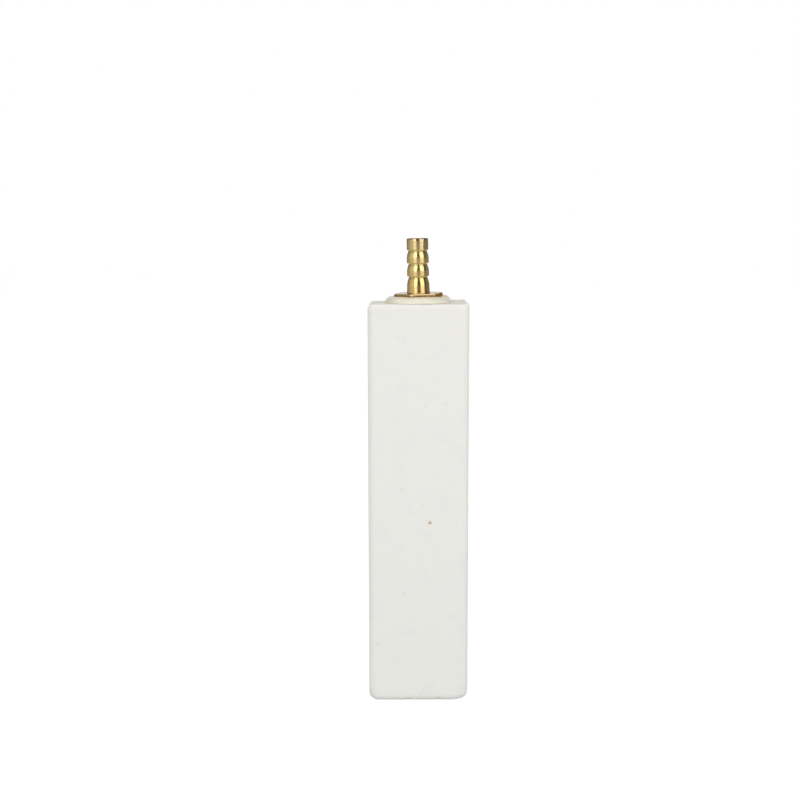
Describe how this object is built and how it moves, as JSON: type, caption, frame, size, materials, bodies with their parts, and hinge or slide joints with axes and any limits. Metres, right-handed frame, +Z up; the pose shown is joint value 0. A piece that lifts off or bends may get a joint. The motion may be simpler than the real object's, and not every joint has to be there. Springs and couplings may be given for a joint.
{
  "type": "air stone bar",
  "caption": "Square bar of porous ceramic that stands on end and gives off fine air bubbles, fed through a brass hose tail bedded in a resin bead in its top.",
  "frame": {"origin": "centre of the bar's lower end, on the surface that it stands on", "axes": "+Z up the bar towards the hose tail, -Y out of the face that the picture shows, +X to the right in the picture"},
  "size_m": [0.05, 0.05, 0.2325],
  "materials": {
    "porous_ceramic": "matte, fine even grain with open pores",
    "turned_brass": "bright as turned, slightly tarnished",
    "cast_resin": "glossy cream, poured by hand"
  },
  "bodies": {
    "root": {"stone_bar": "porous_ceramic", "hose_fitting": "turned_brass", "resin_seal": "cast_resin"}
  },
  "joints": []
}
